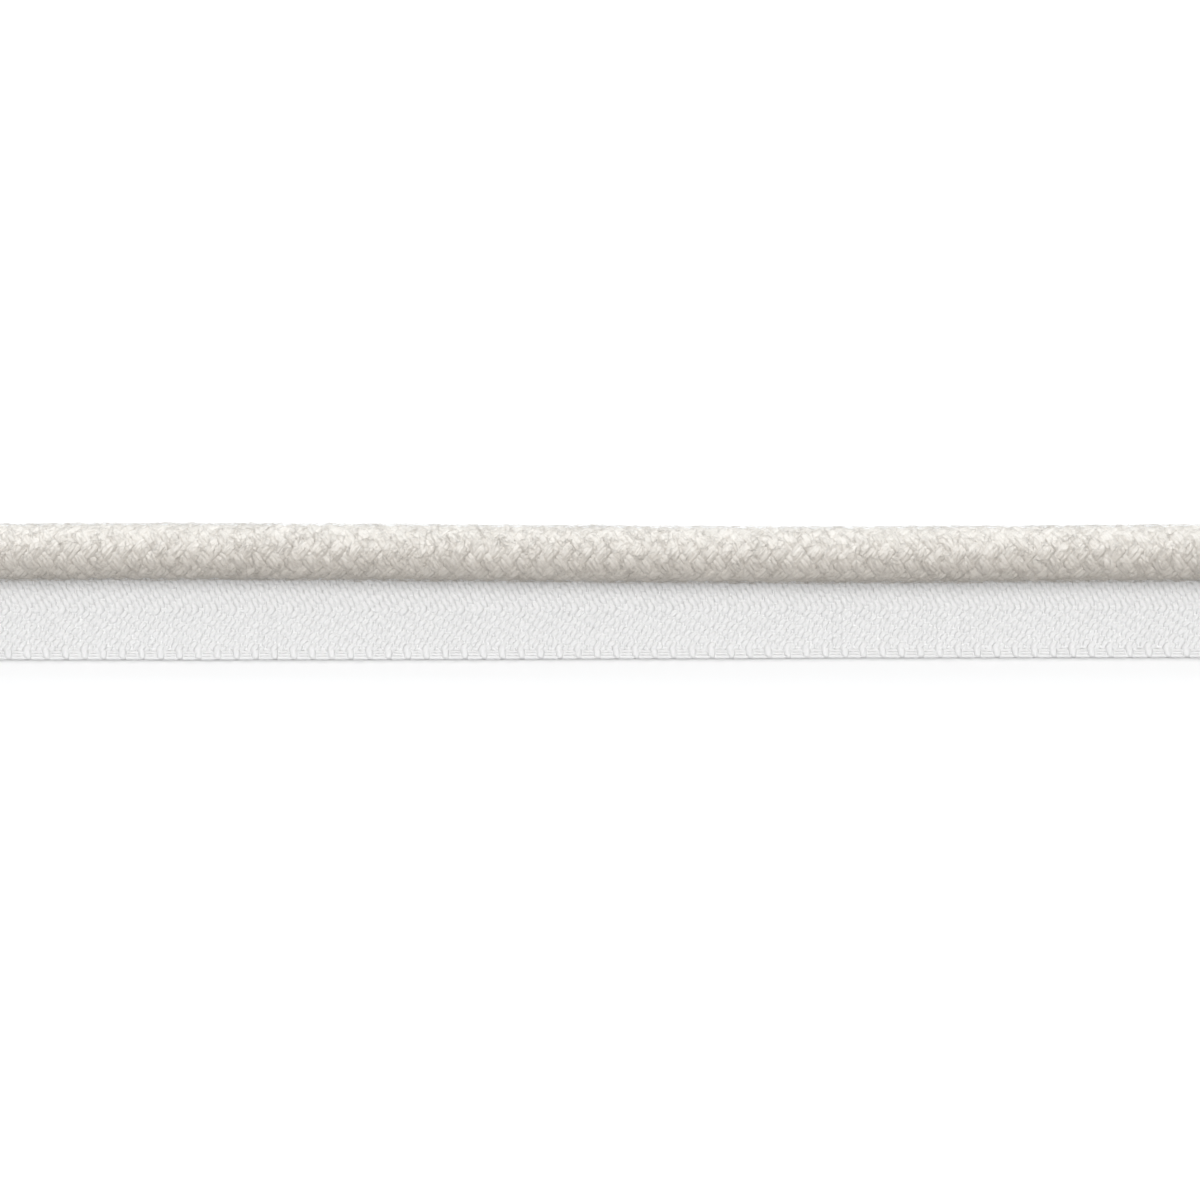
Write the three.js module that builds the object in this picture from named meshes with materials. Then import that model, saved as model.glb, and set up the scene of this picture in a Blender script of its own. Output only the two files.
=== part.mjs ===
// A straight cut length of flanged piping: a round braided cord sewn along one edge of a flat woven tape.
// Millimetres. +X runs along the trim, +Y points from the tape to the cord, +Z is up, and the tape lies
// flat with its underside at z = 0. The origin is under the middle of the whole piece.
import * as THREE from "three";

// Length between the two plain cut ends.
const TRIM_LENGTH = 150;

// The cord: a sheath of yarns plaited one over, one under, round a soft filling.
const CORD_DIAMETER = 6.35;
const CORD_YARNS = 12;
const BRAID_PITCH = 1.95;
const BRAID_DEPTH = 0.48;
const BRAID_START = THREE.MathUtils.degToRad(-3);
const BRAID_TURN = THREE.MathUtils.degToRad(4);
const CORD_FLAT = 0.08;

// The cord wanders a little from a straight line, in one slow wave.
const CORD_SWAY = { size: 0.18, period: 140, crest: -47 };

// The tape: its free edge shows below the cord, and its sewn edge lies hidden under it. Where the cord
// covers it, the stitches press it a little thinner, up to a seam line just outside the cord.
const TAPE_WIDTH = 12.7;
const TAPE_THICKNESS = 1;
const TAPE_PAST_CORD_MIDDLE = 0.8;
const SEAM_FROM_CORD_MIDDLE = 3.6;
const SEAM_SLOPE = 0.4;
const SEWN_THICKNESS = 0.9;
const SELVEDGE_ROUND = 0.4;
const SELVEDGE_STEPS = 3;
const TAPE_STEP = 5;

// Thread gap between the tape and the cord that is sewn to it.
const SEWN_GAP = 0.3;

// How far the cord lies towards +Y from its straight line at a place along the trim.
function cordSway(x) {
  return CORD_SWAY.size * Math.cos((2 * Math.PI * (x - CORD_SWAY.crest)) / CORD_SWAY.period);
}

// A closed skin through rings of points, one ring at each of the steps along X, with a flat cap at each end.
// ringAt(x) gives one ring as [y, z] pairs, turning from +Y to +Z.
function skinAlongX(steps, ringAt) {
  const points = [];
  const faces = [];
  const rings = [];
  for (let i = 0; i <= steps; i++) {
    const x = (i / steps - 0.5) * TRIM_LENGTH;
    rings.push(ringAt(x, i));
    for (const [y, z] of rings[i]) points.push(x, y, z);
  }
  const around = rings[0].length;
  for (let i = 0; i < steps; i++) {
    for (let j = 0; j < around; j++) {
      const a = i * around + j;
      const b = i * around + ((j + 1) % around);
      // Each four-sided cell is split along alternate diagonals, so neighbouring crowns look alike.
      if ((i + j) % 2) faces.push(a, b, a + around, b, b + around, a + around);
      else faces.push(a, b, b + around, a, b + around, a + around);
    }
  }
  for (const end of [0, steps]) {
    const middle = points.length / 3;
    const ring = rings[end];
    const y = ring.reduce((sum, p) => sum + p[0], 0) / around;
    const z = ring.reduce((sum, p) => sum + p[1], 0) / around;
    points.push((end / steps - 0.5) * TRIM_LENGTH, y, z);
    for (let j = 0; j < around; j++) {
      const a = end * around + j;
      const b = end * around + ((j + 1) % around);
      if (end) faces.push(middle, a, b);
      else faces.push(middle, b, a);
    }
  }
  const geometry = new THREE.BufferGeometry();
  geometry.setAttribute("position", new THREE.Float32BufferAttribute(points, 3));
  geometry.setIndex(faces);
  geometry.computeVertexNormals();
  return geometry;
}

// The cord's surface: crowns stand in rows along it, one row for each yarn, and the crowns of a row
// lie half a pitch on from those of the next row. Between two rows the surface is at mid height. Where
// the cord lies on its seat it is pressed flat.
function cordGeometry() {
  const crownRadius = CORD_DIAMETER / 2;
  const midRadius = crownRadius - BRAID_DEPTH / 2;
  const seat = SEWN_THICKNESS + SEWN_GAP;
  const middleHeight = seat - CORD_FLAT + crownRadius;
  const pointsRound = 2 * CORD_YARNS;
  const steps = Math.round((2 * TRIM_LENGTH) / BRAID_PITCH);
  const ringAt = (x, step) => {
    const turn = BRAID_START + (BRAID_TURN * x) / TRIM_LENGTH;
    const ring = [];
    for (let j = 0; j < pointsRound; j++) {
      const onRow = j % 2 === 0;
      const crown = (step + j / 2) % 2 === 0;
      const relief = onRow ? (crown ? 0.5 : -0.5) * BRAID_DEPTH : 0;
      const angle = (2 * Math.PI * j) / pointsRound + turn;
      const y = cordSway(x) + (midRadius + relief) * Math.cos(angle);
      const z = middleHeight + (midRadius + relief) * Math.sin(angle);
      ring.push([y, Math.max(z, seat)]);
    }
    return ring;
  };
  return skinAlongX(steps, ringAt);
}

// The tape's section: flat below, flat above on each side of the seam line, with softly rounded selvedges.
function tapeGeometry() {
  const sewnEdge = TAPE_PAST_CORD_MIDDLE;
  const freeEdge = sewnEdge - TAPE_WIDTH;
  const corners = [
    { y: sewnEdge - SELVEDGE_ROUND, z: SELVEDGE_ROUND, from: -90 },
    { y: sewnEdge - SELVEDGE_ROUND, z: SEWN_THICKNESS - SELVEDGE_ROUND, from: 0 },
    { y: freeEdge + SELVEDGE_ROUND, z: TAPE_THICKNESS - SELVEDGE_ROUND, from: 90 },
    { y: freeEdge + SELVEDGE_ROUND, z: SELVEDGE_ROUND, from: 180 },
  ];
  const section = [];
  for (const corner of corners) {
    for (let i = 0; i <= SELVEDGE_STEPS; i++) {
      const angle = THREE.MathUtils.degToRad(corner.from + (90 * i) / SELVEDGE_STEPS);
      const y = corner.y + SELVEDGE_ROUND * Math.cos(angle);
      const z = corner.z + SELVEDGE_ROUND * Math.sin(angle);
      section.push([y, z]);
    }
    if (corner.from === 0) {
      section.push([SEAM_SLOPE - SEAM_FROM_CORD_MIDDLE, SEWN_THICKNESS]);
      section.push([-SEAM_FROM_CORD_MIDDLE, TAPE_THICKNESS]);
    }
  }
  return skinAlongX(TRIM_LENGTH / TAPE_STEP, () => section);
}

function makeCord() {
  const ivoryCotton = new THREE.MeshStandardMaterial({
    color: 0xe6e1d8,
    roughness: 0.9,
    metalness: 0,
    flatShading: true,
  });
  const cord = new THREE.Mesh(cordGeometry(), ivoryCotton);
  cord.name = "cord";
  return cord;
}

function makeTape() {
  const whiteCotton = new THREE.MeshStandardMaterial({
    color: 0xeeeff0,
    roughness: 0.92,
    metalness: 0,
  });
  const tape = new THREE.Mesh(tapeGeometry(), whiteCotton);
  tape.name = "tape";
  return tape;
}

const trim = new THREE.Group();
trim.add(makeCord(), makeTape());

// The frame: the origin is under the middle of the whole piece, on the surface that it lies on.
const box = new THREE.Box3().setFromObject(trim);
const middle = box.getCenter(new THREE.Vector3());
trim.position.set(-middle.x, -middle.y, -box.min.z);

export default trim;
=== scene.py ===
import math

import bpy
import numpy as np
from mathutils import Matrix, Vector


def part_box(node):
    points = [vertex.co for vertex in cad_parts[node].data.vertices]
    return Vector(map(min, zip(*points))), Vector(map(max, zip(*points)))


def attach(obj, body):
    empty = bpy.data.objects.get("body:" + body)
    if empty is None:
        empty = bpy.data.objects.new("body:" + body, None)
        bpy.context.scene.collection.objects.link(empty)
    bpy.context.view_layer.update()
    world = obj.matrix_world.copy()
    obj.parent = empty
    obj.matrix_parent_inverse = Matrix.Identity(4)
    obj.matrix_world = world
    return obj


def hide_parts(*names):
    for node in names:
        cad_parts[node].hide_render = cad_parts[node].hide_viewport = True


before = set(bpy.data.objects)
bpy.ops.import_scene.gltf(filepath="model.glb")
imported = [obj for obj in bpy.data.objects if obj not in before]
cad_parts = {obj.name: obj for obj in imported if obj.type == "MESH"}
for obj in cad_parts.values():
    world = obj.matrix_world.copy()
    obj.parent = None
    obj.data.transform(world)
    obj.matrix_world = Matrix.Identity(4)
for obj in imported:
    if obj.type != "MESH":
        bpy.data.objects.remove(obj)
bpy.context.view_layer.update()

bpy.ops.object.select_all(action="DESELECT")

# The camera looks straight down on the length of trim, which runs off both sides of its picture. The
# middle of the cord lies a little above the middle of the picture. Here and below, sizes are in
# millimetres, which MM turns into Blender's metres, and angles are in degrees.
MM = 0.001
TAPE_PAST_CORD_MIDDLE = 0.8
tape_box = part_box("tape")
CORD_MIDDLE = tape_box[1].y / MM - TAPE_PAST_CORD_MIDDLE
CAMERA_BELOW_CORD = 5.35
PICTURE_WIDTH = 133.7
LENS = 100
SENSOR = 36
SHARPEST_HEIGHT = 2
camera_height = PICTURE_WIDTH * LENS / SENSOR + SHARPEST_HEIGHT
bpy.ops.object.camera_add(
    location=(0, (CORD_MIDDLE - CAMERA_BELOW_CORD) * MM, camera_height * MM),
    rotation=(0, 0, 0),
)
camera = bpy.context.object
camera.name = "camera"
camera.data.lens = LENS
camera.data.sensor_width = SENSOR
camera.data.clip_start = 0.005
camera.data.clip_end = 20
camera.data.dof.use_dof = False
bpy.context.scene.camera = camera
bpy.context.scene.view_settings.view_transform = "Standard"
bpy.context.scene.view_settings.look = "None"

# The cord's sheath is plaited from twelve soft ivory yarns, one over and one under, six turning each
# way round the cord. Each yarn is three fine plies laid side by side. A worker pulls the plait tight
# round the filling, so that every crossing stands up as a small fat crown.
TRIM_LENGTH = 150
CORD_HEIGHT = 3.95
CORD_SPREAD = 1.045
CORD_LEAN = -0.17
SWAY_SIZE = 0.18
SWAY_CREST = -47
SWAY_PERIOD = 140
BRAID_PITCH = 1.95
BRAID_SHIFT = -0.66
BRAID_START = 57
BRAID_TURN = 4
YARNS_EACH_WAY = 6
CROWN_RADIUS = 2.9
SHEATH_RADIUS = 2.52
SHEATH_WAVE = 0.12
CROWN_FLATNESS = 0.3
CROWN_BROADER = 0.03
CROWN_THICKER = 0.02
PLY_SPACING = 0.385
PLY_SPREAD = 0.02
PLY_HALF_WIDTH = 0.54
PLY_HALF_THICKNESS = 0.29
PLY_SIDES = 6
PLY_DROP = 0.06
PLY_STEP = 0.1625
PLY_SHORT = {"least": 0.02, "most": 0.3}
PLY_TAPER = (0.55, 0.9)
RADIUS_DRIFT = {"reach": 0.9, "size": 0.018}
ANGLE_DRIFT = {"reach": 1.6, "size": 0.015}
LENGTH_DRIFT = {"reach": 1.7, "size": 0.035}
SWELL_DRIFT = {"reach": 1.2, "size": 0.06}
YARN_TONES = 0.12
PLY_TONES = 0.16
CORD_SEED = 11
yarn_turn = math.radians(360 / YARNS_EACH_WAY)
braid_angle = math.atan(yarn_turn * CROWN_RADIUS / BRAID_PITCH)


def cord_sway(x):
    """How far the cord lies towards +Y from its straight line, in one slow wave."""
    return SWAY_SIZE * np.cos(2 * np.pi * (x - SWAY_CREST) / SWAY_PERIOD)


def drift(rng, count, step, reach, size):
    """A smooth random wander of that size, which changes over about that reach, in millimetres."""
    knots = rng.normal(0, size, int(count * step / reach) + 4)
    return np.interp(np.arange(count) * step / reach + 1, np.arange(len(knots)), knots)


def round_yarn(middle, outward, wide, thick, sides):
    """The skin of one yarn round its middle line: points, four-sided faces, end faces, and where each
    face corner lies, round the yarn in turns and along it in millimetres."""
    count = len(middle)
    along = np.gradient(middle, axis=0)
    along /= np.linalg.norm(along, axis=1, keepdims=True)
    across = np.cross(along, outward)
    across /= np.linalg.norm(across, axis=1, keepdims=True)
    up = np.cross(across, along)
    turn = 2 * np.pi * (np.arange(sides) + 0.5 * (sides % 4 == 0)) / sides + 0.5 * np.pi
    wide = np.broadcast_to(wide, count)[:, None, None]
    thick = np.broadcast_to(thick, count)[:, None, None]
    points = middle[:, None] + across[:, None] * wide * np.cos(turn)[None, :, None]
    points = points + up[:, None] * thick * np.sin(turn)[None, :, None]
    ring = np.arange(count - 1)[:, None] * sides
    here = np.arange(sides)[None]
    following = (here + 1) % sides
    next_ring = ring + sides
    corners = [ring + here, next_ring + here, next_ring + following, ring + following]
    quads = np.stack(corners, axis=2).reshape(-1, 4)
    ends = np.array([np.arange(sides), (count - 1) * sides + np.arange(sides)[::-1]])
    lengths = np.concatenate([[0], np.cumsum(np.linalg.norm(np.diff(middle, axis=0), axis=1))])
    u = np.broadcast_to(here / sides, (count - 1, sides))
    v = np.broadcast_to(lengths[:-1, None], (count - 1, sides))
    v_next = np.broadcast_to(lengths[1:, None], (count - 1, sides))
    round_and_along = np.stack(
        [
            np.stack([u, v], axis=2),
            np.stack([u, v_next], axis=2),
            np.stack([u + 1 / sides, v_next], axis=2),
            np.stack([u + 1 / sides, v], axis=2),
        ],
        axis=2,
    ).reshape(-1, 2)
    end_places = np.zeros((2, sides, 2))
    end_places[1, :, 1] = lengths[-1]
    return {
        "points": points.reshape(-1, 3),
        "quads": quads,
        "ends": ends,
        "quad_places": round_and_along,
        "end_places": end_places.reshape(-1, 2),
    }


def yarn_piece(name, yarns, tones, material):
    """One object of many yarns. Each yarn's tone is kept on its points, for the colour of its fibres."""
    points = np.concatenate([yarn["points"] for yarn in yarns])
    counts = [len(yarn["points"]) for yarn in yarns]
    starts = np.concatenate([[0], np.cumsum(counts)[:-1]])
    quads = np.concatenate([yarn["quads"] + start for yarn, start in zip(yarns, starts)])
    ends = np.concatenate([yarn["ends"] + start for yarn, start in zip(yarns, starts)])
    quad_places = [yarn["quad_places"] for yarn in yarns]
    end_places = [yarn["end_places"] for yarn in yarns]
    places = np.concatenate(quad_places + end_places)
    sides = ends.shape[1]
    loops = np.concatenate([quads.ravel(), ends.ravel()])
    sizes = np.concatenate([np.full(len(quads), 4), np.full(len(ends), sides)])
    mesh = bpy.data.meshes.new(name)
    mesh.vertices.add(len(points))
    mesh.vertices.foreach_set("co", (points * MM).ravel())
    mesh.loops.add(len(loops))
    mesh.loops.foreach_set("vertex_index", loops)
    mesh.polygons.add(len(sizes))
    mesh.polygons.foreach_set("loop_start", np.concatenate([[0], np.cumsum(sizes)[:-1]]))
    mesh.polygons.foreach_set("use_smooth", np.ones(len(sizes), bool))
    mesh.uv_layers.new(name="along_yarn").data.foreach_set("uv", places.ravel())
    tone = mesh.attributes.new("yarn_tone", "FLOAT", "POINT")
    tone.data.foreach_set("value", np.repeat(tones, counts))
    mesh.update(calc_edges=True)
    mesh.validate()
    piece = bpy.data.objects.new(name, mesh)
    bpy.context.scene.collection.objects.link(piece)
    mesh.materials.append(material)
    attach(piece, "root")
    return piece


def put(tree, kind, **settings):
    """A new node of the tree, with its settings."""
    node = tree.nodes.new(kind)
    for key, value in settings.items():
        setattr(node, key, value)
    return node


def calculate(tree, operation, first, second, third=None):
    """A Math node of the tree. Each of its values is a number or a socket."""
    node = put(tree, "ShaderNodeMath", operation=operation)
    for place, value in enumerate((first, second, third)):
        if value is None:
            continue
        if isinstance(value, (int, float)):
            node.inputs[place].default_value = value
        else:
            tree.links.new(value, node.inputs[place])
    return node.outputs[0]


def make_spun_fibres():
    """Spun staple fibres: fine ridges that wind round a yarn, broken by small tufts, soft blotches of
    tone from yarn to yarn and along each one, and small brownish flecks of seed husk. The ridges also
    streak the colour faintly, lighter on their crests and darker in their grooves: partly fibre tone,
    partly painted shade in the grooves."""
    group = bpy.data.node_groups.new("spun_fibres", "ShaderNodeTree")
    usual_values = {
        "Ridges": 7.0,
        "Lay": 1.6,
        "Tuft Scale": 9000.0,
        "Relief": 0.5,
        "Unevenness": 0.1,
        "Flecks": 0.0,
    }
    for name, usual in usual_values.items():
        socket = group.interface.new_socket(name, in_out="INPUT", socket_type="NodeSocketFloat")
        socket.default_value = usual
    group.interface.new_socket("Colour", in_out="INPUT", socket_type="NodeSocketColor")
    group.interface.new_socket("Colour", in_out="OUTPUT", socket_type="NodeSocketColor")
    group.interface.new_socket("Normal", in_out="OUTPUT", socket_type="NodeSocketVector")
    given = put(group, "NodeGroupInput")
    result = put(group, "NodeGroupOutput")
    places = put(group, "ShaderNodeUVMap", uv_map="along_yarn")
    split = put(group, "ShaderNodeSeparateXYZ")
    group.links.new(places.outputs[0], split.inputs[0])
    where = put(group, "ShaderNodeTexCoord")
    tufts = put(group, "ShaderNodeTexNoise")
    tufts.inputs["Detail"].default_value = 3
    tufts.inputs["Roughness"].default_value = 0.65
    group.links.new(where.outputs["Object"], tufts.inputs["Vector"])
    group.links.new(given.outputs["Tuft Scale"], tufts.inputs["Scale"])
    blotches = put(group, "ShaderNodeTexNoise")
    blotches.inputs["Scale"].default_value = 700
    blotches.inputs["Detail"].default_value = 2
    group.links.new(where.outputs["Object"], blotches.inputs["Vector"])
    winding = calculate(group, "DIVIDE", split.outputs["Y"], given.outputs["Lay"])
    ridges = calculate(group, "MULTIPLY_ADD", split.outputs["X"], given.outputs["Ridges"], winding)
    wandering = calculate(group, "MULTIPLY_ADD", tufts.outputs["Fac"], 1.1, ridges)
    wave = calculate(group, "SINE", calculate(group, "MULTIPLY", wandering, 2 * math.pi), 0)
    ridge_height = calculate(group, "MULTIPLY_ADD", wave, 0.35, tufts.outputs["Fac"])
    bump = put(group, "ShaderNodeBump")
    bump.inputs["Distance"].default_value = 0.00006
    group.links.new(given.outputs["Relief"], bump.inputs["Strength"])
    group.links.new(ridge_height, bump.inputs["Height"])
    group.links.new(bump.outputs["Normal"], result.inputs["Normal"])
    yarn_tone = put(group, "ShaderNodeAttribute", attribute_name="yarn_tone")
    patch = calculate(group, "SUBTRACT", blotches.outputs["Fac"], 0.5)
    tone_and_painted_groove_shade = calculate(group, "MULTIPLY_ADD", patch, 0.8, yarn_tone.outputs["Fac"])
    # Painted shade: the ridges' wave, which also raises the bump, makes the colour lighter on the crests
    # and darker in the grooves. Unevenness scales this together with the tone blotches.
    tone_and_painted_groove_shade = calculate(group, "MULTIPLY_ADD", wave, 0.25, tone_and_painted_groove_shade)
    bright = calculate(group, "MULTIPLY_ADD", tone_and_painted_groove_shade, given.outputs["Unevenness"], 1.0)
    fleck_noise = put(group, "ShaderNodeTexNoise")
    fleck_noise.inputs["Scale"].default_value = 3200
    fleck_noise.inputs["Detail"].default_value = 4
    group.links.new(where.outputs["Object"], fleck_noise.inputs["Vector"])
    fleck_mask = put(group, "ShaderNodeMapRange", interpolation_type="SMOOTHSTEP")
    fleck_mask.inputs["From Min"].default_value = 0.5
    fleck_mask.inputs["From Max"].default_value = 0.68
    group.links.new(fleck_noise.outputs["Fac"], fleck_mask.inputs["Value"])
    fleck_share = calculate(group, "MULTIPLY", fleck_mask.outputs["Result"], given.outputs["Flecks"])
    flecked = put(group, "ShaderNodeMix", data_type="RGBA")
    factor_input, plain_input, fleck_input = (flecked.inputs[place] for place in (0, 6, 7))
    fleck_input.default_value = (0.42, 0.36, 0.3, 1)
    group.links.new(fleck_share, factor_input)
    group.links.new(given.outputs["Colour"], plain_input)
    tint = put(group, "ShaderNodeVectorMath", operation="SCALE")
    group.links.new(flecked.outputs[2], tint.inputs[0])
    group.links.new(bright, tint.inputs["Scale"])
    group.links.new(tint.outputs[0], result.inputs["Colour"])
    return group


spun_fibres = make_spun_fibres()


def yarn_finish(name, colour, roughness, sheen, **fibres):
    """The finish of one kind of yarn. Fibres gives values of the spun fibres' inputs."""
    material = bpy.data.materials.new(name)
    material.use_nodes = True
    tree = material.node_tree
    shader = tree.nodes["Principled BSDF"]
    shader.inputs["Roughness"].default_value = roughness
    shader.inputs["Specular IOR Level"].default_value = 0.25
    shader.inputs["Sheen Weight"].default_value = sheen
    shader.inputs["Sheen Roughness"].default_value = 0.5
    group = put(tree, "ShaderNodeGroup", node_tree=spun_fibres)
    group.inputs["Colour"].default_value = (*colour, 1)
    for key, value in fibres.items():
        group.inputs[key.replace("_", " ")].default_value = value
    tree.links.new(group.outputs["Colour"], shader.inputs["Base Color"])
    tree.links.new(group.outputs["Normal"], shader.inputs["Normal"])
    return material


ivory_yarn = yarn_finish(
    "ivory_yarn",
    colour=(0.628, 0.59, 0.54),
    roughness=0.9,
    sheen=0.03,
    Ridges=7,
    Lay=1.9,
    Tuft_Scale=4000,
    Relief=0.45,
    Unevenness=0.09,
    Flecks=0.22,
)


def sheath_ply(rng, way, number, ply):
    """One ply of a sheath yarn. Way is 1 or -1, the way that the yarn turns round the cord. Ply is -1,
    0 or 1, its place in the yarn. Over runs from -1, under a yarn of the other way, to 1, over one."""
    start = -TRIM_LENGTH / 2 + rng.uniform(PLY_SHORT["least"], PLY_SHORT["most"])
    end = TRIM_LENGTH / 2 - rng.uniform(PLY_SHORT["least"], PLY_SHORT["most"])
    count = int((end - start) / PLY_STEP)
    x = np.linspace(start, end, count)
    rate = yarn_turn / BRAID_PITCH
    base = np.radians(BRAID_START + BRAID_TURN * x / TRIM_LENGTH)
    centre_x = x + ply * PLY_SPACING * way * math.sin(braid_angle) - BRAID_SHIFT
    angle = base + yarn_turn * number + way * rate * centre_x
    for _ in range(2):
        other = (angle + way * rate * (x - BRAID_SHIFT) - base) / yarn_turn
        over = np.cos(np.pi * (other - number)) * way
        spread = ply * (PLY_SPACING + PLY_SPREAD * over)
        centre_x = x + spread * way * math.sin(braid_angle) - BRAID_SHIFT
        middle_angle = base + yarn_turn * number + way * rate * centre_x
        angle = middle_angle + spread * math.cos(braid_angle) / SHEATH_RADIUS
    shaped = over * (1 + CROWN_FLATNESS - CROWN_FLATNESS * over**2)
    crown = np.clip(over, 0, 1)
    radius = SHEATH_RADIUS + SHEATH_WAVE * shaped - PLY_DROP * abs(ply) * crown
    radius = radius + drift(rng, count, PLY_STEP, **RADIUS_DRIFT)
    angle = angle + drift(rng, count, PLY_STEP, **ANGLE_DRIFT)
    outward = np.stack([np.zeros(count), np.cos(angle), np.sin(angle)], axis=1)
    middle = outward * radius[:, None]
    middle[:, 0] = x + drift(rng, count, PLY_STEP, **LENGTH_DRIFT)
    middle[:, 1] = middle[:, 1] * CORD_SPREAD + CORD_MIDDLE + CORD_LEAN + cord_sway(x)
    middle[:, 2] += CORD_HEIGHT
    swell = 1 + drift(rng, count, PLY_STEP, **SWELL_DRIFT)
    swell[:2] *= PLY_TAPER
    swell[-2:] *= PLY_TAPER[::-1]
    wide = (PLY_HALF_WIDTH + CROWN_BROADER * over) * swell
    thick = (PLY_HALF_THICKNESS + CROWN_THICKER * over) * swell
    return round_yarn(middle, outward, wide, thick, PLY_SIDES)


rng = np.random.default_rng(CORD_SEED)
for way, side in ((1, "left"), (-1, "right")):
    for number in range(YARNS_EACH_WAY):
        plies = [sheath_ply(rng, way, number, ply) for ply in (-1, 0, 1)]
        tones = rng.normal(0, YARN_TONES) + rng.normal(0, PLY_TONES, 3)
        name = f"cord_yarn_{side}_{number + 1}"
        yarn_piece(name, plies, tones, ivory_yarn)
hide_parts("cord")

# The cord's filling is a bundle of nineteen thick soft yarns, hardly twisted, that run straight along
# inside the sheath, pressed together. It shows only at the two cut ends.
FILLING_SPACING = 0.86
OUTER_RING = 1.93
FILLING_RADIUS = 0.55
FILLING_SIDES = 9
FILLING_STEP = 2.5
FILLING_SHORT = {"least": 0.05, "most": 0.45}
FILLING_DRIFT = {"reach": 9, "size": 0.04}
FILLING_TONES = 0.4
CUT_STEPS = np.array((0, 0.15, 0.4))
CUT_TAPER = (0.5, 0.8, 0.95)
CUT_LENGTH = 0.6
filling_yarn = yarn_finish(
    "filling_yarn",
    colour=(0.62, 0.585, 0.53),
    roughness=0.9,
    sheen=0.03,
    Ridges=9,
    Lay=6,
    Tuft_Scale=5000,
    Relief=0.6,
    Unevenness=0.12,
)
filling_places = [(0.0, 0.0)]
filling_places += [(FILLING_SPACING, k * math.pi / 3) for k in range(6)]
filling_places += [(OUTER_RING * FILLING_SPACING, (k + 0.5) * math.pi / 6) for k in range(12)]
fillings = []
for reach, turn in filling_places:
    start = -TRIM_LENGTH / 2 + rng.uniform(FILLING_SHORT["least"], FILLING_SHORT["most"])
    end = TRIM_LENGTH / 2 - rng.uniform(FILLING_SHORT["least"], FILLING_SHORT["most"])
    inner = np.arange(start + CUT_LENGTH, end - CUT_LENGTH, FILLING_STEP)
    x = np.concatenate([start + CUT_STEPS, inner, end - CUT_STEPS[::-1]])
    count = len(x)
    y = CORD_MIDDLE + CORD_LEAN + cord_sway(x) + reach * math.cos(turn)
    y += drift(rng, count, FILLING_STEP, **FILLING_DRIFT)
    z = CORD_HEIGHT + reach * math.sin(turn) + drift(rng, count, FILLING_STEP, **FILLING_DRIFT)
    line = np.stack([x, y, z], axis=1)
    outward = np.tile((0.0, 0.0, 1.0), (count, 1))
    size = np.full(count, FILLING_RADIUS)
    size[:3] *= CUT_TAPER
    size[-3:] *= CUT_TAPER[::-1]
    fillings.append(round_yarn(line, outward, size, size, FILLING_SIDES))
filling_tones = rng.normal(0, FILLING_TONES, len(fillings))
yarn_piece("cord_filling", fillings, filling_tones, filling_yarn)

# The tape's weft is one white cotton yarn that goes to and fro across the tape and turns back round
# the outer end of each selvedge. It floats over three ends and dives under the fourth, and the dives
# step along the tape one way, then the other way from a line near its middle, which is the herringbone.
TAPE_WIDTH = 12.7
TAPE_MIDDLE_HEIGHT = 0.4
PICKS = 282
PICK_PITCH = 0.5307
POINT_FROM_EDGE = 5.6
ENDS_BELOW = 15
ENDS_ABOVE = 19
END_SPACING_BELOW = 0.301
END_SPACING_ABOVE = 0.34
SELVEDGE_ENDS = 3
FREE_SELVEDGE_PLACES = [0.2, 0.5, 0.8]
SEWN_SELVEDGE_PLACES = [12.0, 12.27, 12.52]
PICK_LEAN_BELOW = 0.17
PICK_LEAN_ABOVE = 0.21
WEFT_OVER = 0.13
WEFT_CROWN = 0.045
WEFT_UNDER = -0.17
FREE_SELVEDGE_DROP = 0.06
FLOAT_RISE = 0.03
FLOAT_HALF_WIDTH = 0.44
PINNED_HALF_WIDTH = 0.35
FREE_SELVEDGE_HALF_WIDTH = 0.48
WEFT_HALF_THICKNESS = 0.085
WEFT_SIDES = 6
WEFT_SWELL = {"reach": 2.0, "size": 0.06}
WEFT_STEP = 0.16
EDGE_NARROWING = 0.6
TURN_HALF_WIDTH = 0.2
TURN_HALF_LENGTH = 0.2
TURN_FROM_EDGE = 0.14
TURN_BULGE = 0.04
TAPE_STRAY_ALONG = 0.02
TAPE_STRAY = 0.012
SEWN_PRESS = 0.9
SEAM_FROM_EDGE = 8.3
SEAM_SLOPE = 0.4
SEWN_RISE = 0.3
SEWN_RISE_FROM = 9.4
SEWN_RISE_WIDTH = 2
EDGE_CURL = 0.6
EDGE_CURL_WIDTH = 5
TAPE_SWAY_SIZE = 0.13
TAPE_SWAY_CREST = 60
TAPE_SWAY_PERIOD = 220
TAPE_SEED = 29
POINT_END = SELVEDGE_ENDS + ENDS_BELOW
free_edge = CORD_MIDDLE + TAPE_PAST_CORD_MIDDLE - TAPE_WIDTH
end_places = list(FREE_SELVEDGE_PLACES)
end_places += [POINT_FROM_EDGE - END_SPACING_BELOW * k for k in range(ENDS_BELOW, 0, -1)]
end_places += [POINT_FROM_EDGE + END_SPACING_ABOVE * k for k in range(ENDS_ABOVE)]
end_places += SEWN_SELVEDGE_PLACES
end_places = np.array(end_places)
ENDS = len(end_places)
weft_cotton = yarn_finish(
    "weft_cotton",
    colour=(0.88, 0.88, 0.88),
    roughness=0.9,
    sheen=0.1,
    Ridges=5,
    Lay=1.1,
    Tuft_Scale=9000,
    Relief=0.5,
    Unevenness=0.07,
)


def tape_sway(x):
    """How far the tape lies towards +Y from its straight line, in one slow wave."""
    return TAPE_SWAY_SIZE * np.cos(2 * np.pi * (x - TAPE_SWAY_CREST) / TAPE_SWAY_PERIOD)


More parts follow.
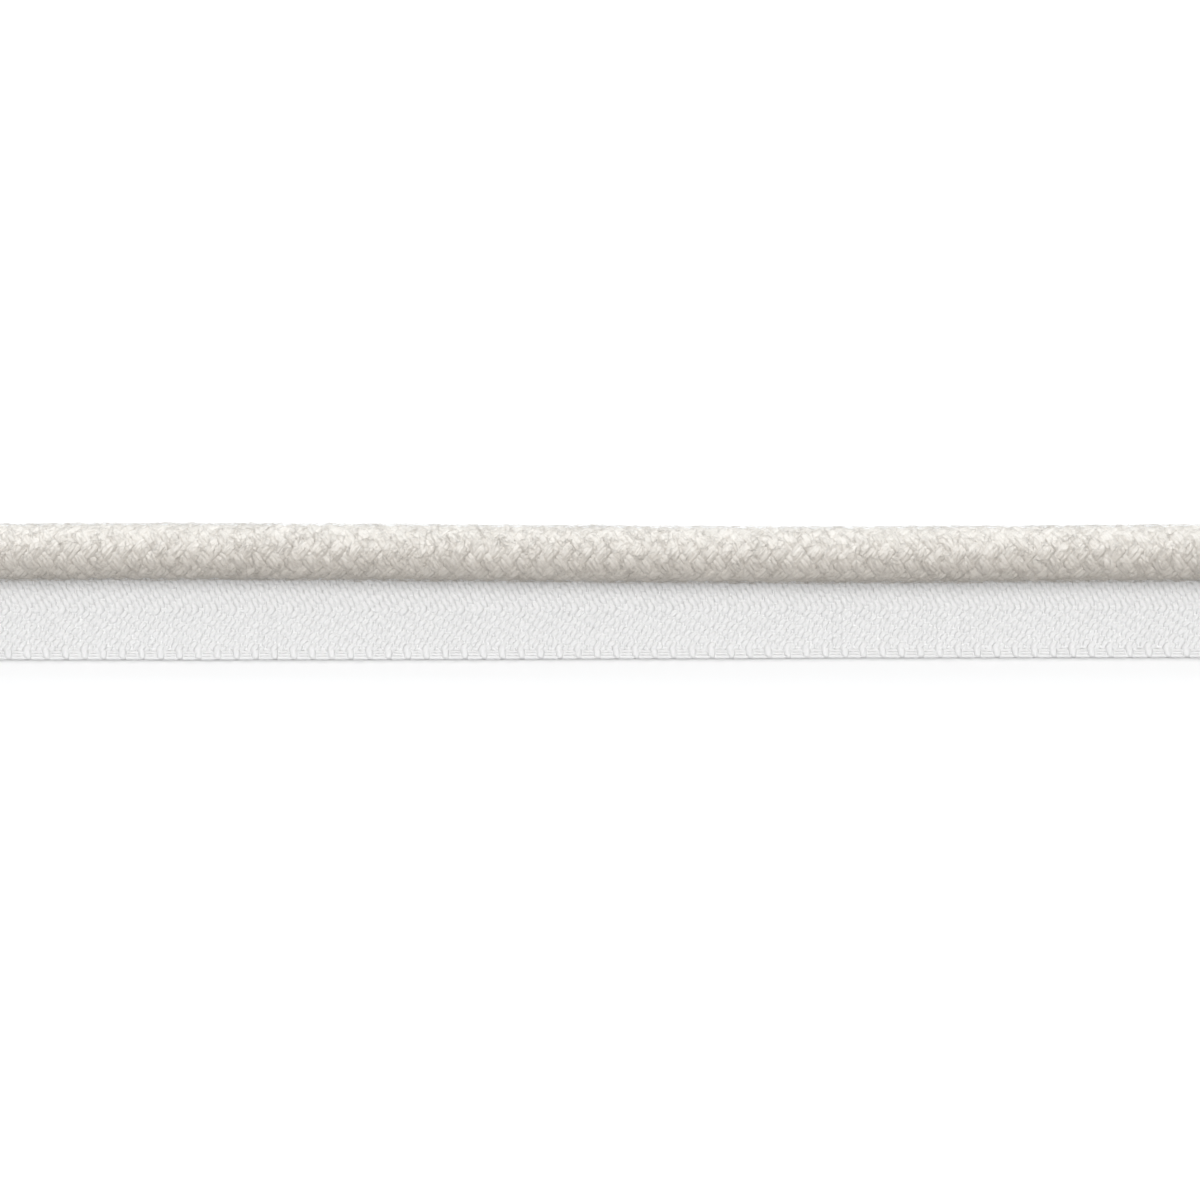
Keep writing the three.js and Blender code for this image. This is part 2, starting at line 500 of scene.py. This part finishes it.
def warp_on_top(pick, end):
    """Whether the warp end passes over the weft at this crossing."""
    step = np.abs(end - POINT_END)
    in_selvedge = (end < SELVEDGE_ENDS) | (end >= ENDS - SELVEDGE_ENDS)
    return np.where(in_selvedge, pick % 4 != 0, (step - pick) % 4 == 0)


def tape_height(place, offset):
    """The height of a yarn that lies that far off the tape's middle, at this distance from the free
    edge. The stitches press the tape a little thinner and draw it up to the cord, and its free edge
    curls up a little."""
    pressed = 1 + (SEWN_PRESS - 1) * np.clip((place - SEAM_FROM_EDGE) / SEAM_SLOPE, 0, 1)
    curl = EDGE_CURL * np.clip(1 - place / EDGE_CURL_WIDTH, 0, 1) ** 2
    up_the_rise = np.clip((place - SEWN_RISE_FROM) / SEWN_RISE_WIDTH, 0, 1)
    rise = SEWN_RISE * np.sin(0.5 * np.pi * up_the_rise) ** 2
    return (TAPE_MIDDLE_HEIGHT + offset) * pressed + curl + rise


tape_rng = np.random.default_rng(TAPE_SEED)
picks, ends = np.meshgrid(np.arange(PICKS), np.arange(ENDS), indexing="ij")
pinned = warp_on_top(picks, ends).astype(float)
lean = warp_on_top(picks + 1, ends).astype(float) - warp_on_top(picks - 1, ends)
lean *= np.where(ends < POINT_END, PICK_LEAN_BELOW, PICK_LEAN_ABOVE)
lean[:, :SELVEDGE_ENDS] = 0
lean[:, ENDS - SELVEDGE_ENDS :] = 0
pick_x = (picks - (PICKS - 1) / 2) * PICK_PITCH + lean
stray_crossings = tape_rng.normal(0, TAPE_STRAY_ALONG, picks.shape)
pick_x += stray_crossings + tape_rng.normal(0, TAPE_STRAY_ALONG, (PICKS, 1))
pick_y = end_places[ends] + tape_rng.normal(0, TAPE_STRAY, picks.shape)
weft_over = np.where(ends < SELVEDGE_ENDS, WEFT_OVER - FREE_SELVEDGE_DROP, WEFT_OVER)
pick_z = np.where(pinned > 0, WEFT_UNDER, weft_over)
pick_z = pick_z + tape_rng.normal(0, TAPE_STRAY, picks.shape)
beside = np.pad(pinned, ((0, 0), (1, 1)))
middle_of_float = (pinned == 0) & (beside[:, :-2] == 0) & (beside[:, 2:] == 0)
pick_z += np.where(middle_of_float, WEFT_CROWN, 0)
pick_width = np.where(middle_of_float, FLOAT_HALF_WIDTH, PINNED_HALF_WIDTH)
pick_width[:, :SELVEDGE_ENDS] = FREE_SELVEDGE_HALF_WIDTH


def weft_run(pick):
    """The weft's middle line across the tape at one pick, from the free edge to the sewn one, as rows
    of x, y, z and half width. There is a row at each crossing and one between each two."""
    crossings = np.stack([pick_x[pick], pick_y[pick], pick_z[pick], pick_width[pick]], axis=1)
    run = np.zeros((2 * ENDS - 1, 4))
    run[::2] = crossings
    run[1::2] = (crossings[:-1] + crossings[1:]) / 2
    floats_on = (pinned[pick, 1:] == 0) & (pinned[pick, :-1] == 0)
    run[1::2, 2] += np.where(floats_on, FLOAT_RISE, 0.0)
    return run


def weft_through(first, last):
    """The weft from one pick to another, with a turn at the edge between each two."""
    line = []
    for pick in range(first, last):
        run = weft_run(pick)
        away = pick % 2 == 0
        line.append(run if away else run[::-1])
        if pick + 1 < last:
            edge = TAPE_WIDTH - TURN_FROM_EDGE if away else TURN_FROM_EDGE
            middle_x = (pick - (PICKS - 1) / 2 + 0.5) * PICK_PITCH
            inner = edge + (-TURN_BULGE if away else TURN_BULGE)
            bend = [
                [middle_x - TURN_HALF_LENGTH, inner, 0.0, TURN_HALF_WIDTH],
                [middle_x, edge, 0.0, TURN_HALF_WIDTH],
                [middle_x + TURN_HALF_LENGTH, inner, 0.0, TURN_HALF_WIDTH],
            ]
            line.append(np.array(bend))
    line, width = np.split(np.concatenate(line), [3], axis=1)
    place = line[:, 1].copy()
    line[:, 2] = tape_height(place, line[:, 2])
    line[:, 1] += free_edge + tape_sway(line[:, 0])
    outward = np.tile((0.0, 0.0, 1.0), (len(line), 1))
    swell = 1 + drift(tape_rng, len(line), WEFT_STEP, **WEFT_SWELL)
    from_edge = np.minimum(place, TAPE_WIDTH - place)
    wide = width[:, 0] * swell * np.clip(EDGE_NARROWING + from_edge, EDGE_NARROWING, 1)
    thick = WEFT_HALF_THICKNESS * swell
    return round_yarn(line, outward, wide, thick, WEFT_SIDES)


for name, first, last in (("tape_weft_1", 0, PICKS // 2), ("tape_weft_2", PICKS // 2, PICKS)):
    weft = weft_through(first, last)
    yarn_piece(name, [weft], [0.0], weft_cotton)

# The tape's warp is forty finer white cotton ends that run along it. Each shows on the face only where
# it pins the weft down, and floats under the tape between. The ends stop at the two cuts.
WARP_OVER = 0.02
WARP_UNDER = -0.26
WARP_RADIUS = 0.11
SELVEDGE_OVER = 0.06
SELVEDGE_HALF_WIDTH = 0.27
WARP_SIDES = 5
WARP_DRIFT = {"reach": 6, "size": 0.015}
WARP_TAIL = {"least": 0.05, "most": 0.35}
WARP_TONES = 0.4
warp_cotton = yarn_finish(
    "warp_cotton",
    colour=(0.88, 0.88, 0.88),
    roughness=0.9,
    sheen=0.1,
    Ridges=4,
    Lay=0.7,
    Tuft_Scale=9000,
    Relief=0.5,
    Unevenness=0.07,
)
warps = []
for end in range(ENDS):
    x = (np.arange(PICKS) - (PICKS - 1) / 2) * PICK_PITCH
    x = x + tape_rng.normal(0, TAPE_STRAY_ALONG, PICKS)
    in_selvedge = end < SELVEDGE_ENDS or end >= ENDS - SELVEDGE_ENDS
    z = np.where(pinned[:, end] > 0, SELVEDGE_OVER if in_selvedge else WARP_OVER, WARP_UNDER)
    y = end_places[end] + drift(tape_rng, PICKS, PICK_PITCH, **WARP_DRIFT)
    tail = tape_rng.uniform(WARP_TAIL["least"], WARP_TAIL["most"], 2)
    x = np.concatenate([[x[0] - tail[0]], x, [x[-1] + tail[1]]])
    x = np.clip(x, -TRIM_LENGTH / 2, TRIM_LENGTH / 2)
    z = np.concatenate([[0.0], z, [0.0]])
    y = np.concatenate([[y[0]], y, [y[-1]]])
    z = tape_height(y, z)
    line = np.stack([x, y + free_edge + tape_sway(x), z], axis=1)
    outward = np.tile((0.0, 0.0, 1.0), (len(x), 1))
    width = SELVEDGE_HALF_WIDTH if in_selvedge else WARP_RADIUS
    warps.append(round_yarn(line, outward, width, WARP_RADIUS, WARP_SIDES))
warp_tones = tape_rng.normal(0, WARP_TONES, ENDS)
yarn_piece("tape_warp", warps, warp_tones, warp_cotton)

# Between its yarns the tape is closed by fine matted cotton fibres, raised when it was brushed and
# steamed. They make one thin sheet, cut with the yarns, which the yarns cover on both sides.
NAP_THICKNESS = 0.16
NAP_OFFSET = -0.03
NAP_SHORTER = 0.6
NAP_NARROWER = 0.3
nap_cotton = yarn_finish(
    "nap_cotton",
    colour=(0.88, 0.88, 0.88),
    roughness=0.92,
    sheen=0.1,
    Ridges=1,
    Lay=50,
    Tuft_Scale=6000,
    Relief=0.7,
    Unevenness=0.07,
)
bpy.ops.mesh.primitive_grid_add(x_subdivisions=150, y_subdivisions=12, size=1)
nap = bpy.context.object
nap.name = "tape_nap"
for vertex in nap.data.vertices:
    x = vertex.co.x * (TRIM_LENGTH - NAP_SHORTER)
    place = TAPE_WIDTH / 2 + vertex.co.y * (TAPE_WIDTH - NAP_NARROWER)
    height = float(tape_height(place, NAP_OFFSET))
    vertex.co = (x * MM, (free_edge + place + float(tape_sway(x))) * MM, height * MM)
solid = nap.modifiers.new("thickness", "SOLIDIFY")
solid.thickness = NAP_THICKNESS * MM
solid.offset = 0
bpy.ops.object.modifier_apply(modifier="thickness")
nap.data.uv_layers[0].name = "along_yarn"
nap.data.materials.clear()
nap.data.materials.append(nap_cotton)
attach(nap, "root")
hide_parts("tape")

# The cord is sewn to the tape with one strong white thread. Its stitches lie under the tape, along a
# line close to the tape's hidden edge, and at each hole a loop goes up and catches the cord's yarns.
STITCH = 2.8
STITCHES_FROM_END = 1.5
STITCH_LINE = 11.5
THREAD_RADIUS = 0.11
THREAD_SIDES = 7
THREAD_STEP = 0.35
THREAD_DRIFT = {"reach": 2, "size": 0.03}
STITCH_SHAPE = [
    {"along": 0.0, "height": 1.0},
    {"along": 0.06, "height": 0.6},
    {"along": 0.14, "height": 0.32},
    {"along": 0.4, "height": 0.22},
    {"along": 1.4, "height": 0.2},
    {"along": 2.4, "height": 0.22},
    {"along": 2.66, "height": 0.32},
    {"along": 2.74, "height": 0.6},
]
thread_cotton = yarn_finish(
    "sewing_thread",
    colour=(0.74, 0.74, 0.735),
    roughness=0.7,
    sheen=0.2,
    Ridges=3,
    Lay=0.8,
    Tuft_Scale=9000,
    Relief=0.5,
    Unevenness=0.05,
)
thread_line = []
for k in range(int((TRIM_LENGTH - 2 * STITCHES_FROM_END) / STITCH)):
    x = -TRIM_LENGTH / 2 + STITCHES_FROM_END + k * STITCH
    for point in STITCH_SHAPE:
        thread_line.append((x + point["along"], STITCH_LINE, point["height"]))
thread_line = np.array(thread_line)
thread_stray = drift(tape_rng, len(thread_line), THREAD_STEP, **THREAD_DRIFT)
thread_line[:, 1] += free_edge + tape_sway(thread_line[:, 0]) + thread_stray
outward = np.tile((0.0, 1.0, 0.0), (len(thread_line), 1))
thread = round_yarn(thread_line, outward, THREAD_RADIUS, THREAD_RADIUS, THREAD_SIDES)
yarn_piece("sewing_thread", [thread], [0.0], thread_cotton)

# Short fluff from the cord's soft yarns lies matted on its upper half and sides, as it does on any
# loosely spun yarn. Each fibre is very fine, lies nearly flat in its own direction and curls back.
HAIRS = 9000
HAIR_RADIUS = 0.016
HAIR_TAPER = np.array((0.5, 1, 1, 0.5))
HAIR_SIDES = 3
HAIR_LENGTH = {"least": 0.5, "most": 1.5}
HAIR_STRETCH = 0.15
HAIR_BEND = 0.3
HAIR_RISE = 0.14
HAIR_RETURN = 1.15
HAIR_BELOW_SIDE = 0.35
HAIR_TONES = 0.3
FLUFF_RADIUS = 2.97
FLUFF_DEPTH = 0.04
FLUFF_TURN_RADIUS = 3.1
HAIR_SIDEWAYS = (0.31, 0.17, 0.05)
FLUFF_SEED = 5
fuzz_rng = np.random.default_rng(FLUFF_SEED)
t = np.linspace(0, 1, len(HAIR_TAPER))
thin = HAIR_RADIUS * HAIR_TAPER
hairs = []
for _ in range(HAIRS):
    x = fuzz_rng.uniform(-TRIM_LENGTH / 2, TRIM_LENGTH / 2)
    turn = fuzz_rng.uniform(-HAIR_BELOW_SIDE, math.pi + HAIR_BELOW_SIDE)
    length = fuzz_rng.uniform(HAIR_LENGTH["least"], HAIR_LENGTH["most"])
    rise = HAIR_RISE * fuzz_rng.uniform() ** 3
    heading = fuzz_rng.uniform(0, 2 * math.pi)
    forward = length * (t + HAIR_STRETCH * fuzz_rng.normal() * t**2)
    bend = HAIR_BEND * length * fuzz_rng.normal() * t**2
    radius = FLUFF_RADIUS + fuzz_rng.normal(0, FLUFF_DEPTH) + 4 * rise * t * (HAIR_RETURN - t)
    along_x = x + forward * math.cos(heading) - bend * math.sin(heading)
    along_x = np.clip(along_x, -TRIM_LENGTH / 2, TRIM_LENGTH / 2)
    round_cord = forward * math.sin(heading) + bend * math.cos(heading)
    angle = turn + round_cord / FLUFF_TURN_RADIUS
    normal = np.stack([np.zeros(len(t)), np.cos(angle), np.sin(angle)], axis=1)
    line = normal * radius[:, None]
    line[:, 0] = along_x
    line[:, 1] = line[:, 1] * CORD_SPREAD + CORD_MIDDLE + CORD_LEAN + cord_sway(along_x)
    line[:, 2] += CORD_HEIGHT
    hairs.append(round_yarn(line, normal + HAIR_SIDEWAYS, thin, thin, HAIR_SIDES))
hair_tones = fuzz_rng.normal(0, HAIR_TONES, len(hairs))
yarn_piece("cord_fuzz", hairs, hair_tones, ivory_yarn)

# A plain pale table top carries the trim. Three lights shine on it: a soft one overhead, a soft one
# from behind the cord, and a low, cooler one from behind it. None of these is part of the object.
bpy.ops.object.select_all(action="DESELECT")
bpy.ops.mesh.primitive_plane_add(size=4, location=(0, 0, 0))
floor = bpy.context.object
floor.name = "floor"
table_top = bpy.data.materials.new("table_top")
table_top.use_nodes = True
table_shader = table_top.node_tree.nodes["Principled BSDF"]
table_shader.inputs["Base Color"].default_value = (0.93, 0.93, 0.93, 1)
table_shader.inputs["Roughness"].default_value = 1.0
table_shader.inputs["Specular IOR Level"].default_value = 0.0
floor.data.materials.append(table_top)

bpy.ops.object.light_add(type="SUN", location=(0, 0, 1))
overhead = bpy.context.object
overhead.name = "overhead_light"
overhead.data.energy = 2.62
overhead.data.angle = math.radians(50)
overhead.rotation_euler = (0, 0, 0)

BACK_LIGHT_ELEVATION = 55
bpy.ops.object.light_add(type="SUN", location=(0, 1, 1))
back = bpy.context.object
back.name = "back_light"
back.data.energy = 0.42
back.data.angle = math.radians(60)
back.rotation_euler = (math.radians(-(90 - BACK_LIGHT_ELEVATION)), 0, 0)

LOW_LIGHT_ELEVATION = 20
bpy.ops.object.light_add(type="SUN", location=(0, 1, 0.3))
low = bpy.context.object
low.name = "low_light"
low.data.energy = 2.6
low.data.color = (0.85, 0.925, 1.0)
low.data.angle = math.radians(22)
low.rotation_euler = (math.radians(-(90 - LOW_LIGHT_ELEVATION)), 0, 0)

# The studio round it is white to the camera, and gives the object only a faint even light.
SEEN_STRENGTH = 1.1
SHINING_STRENGTH = 0.07
world = bpy.data.worlds.new("studio")
bpy.context.scene.world = world
world.use_nodes = True
background = world.node_tree.nodes["Background"]
background.inputs["Color"].default_value = (1, 1, 1, 1)
lights_seen = put(world.node_tree, "ShaderNodeLightPath")
strength = put(world.node_tree, "ShaderNodeMix")
strength.inputs["A"].default_value = SHINING_STRENGTH
strength.inputs["B"].default_value = SEEN_STRENGTH
world.node_tree.links.new(lights_seen.outputs["Is Camera Ray"], strength.inputs["Factor"])
world.node_tree.links.new(strength.outputs["Result"], background.inputs["Strength"])
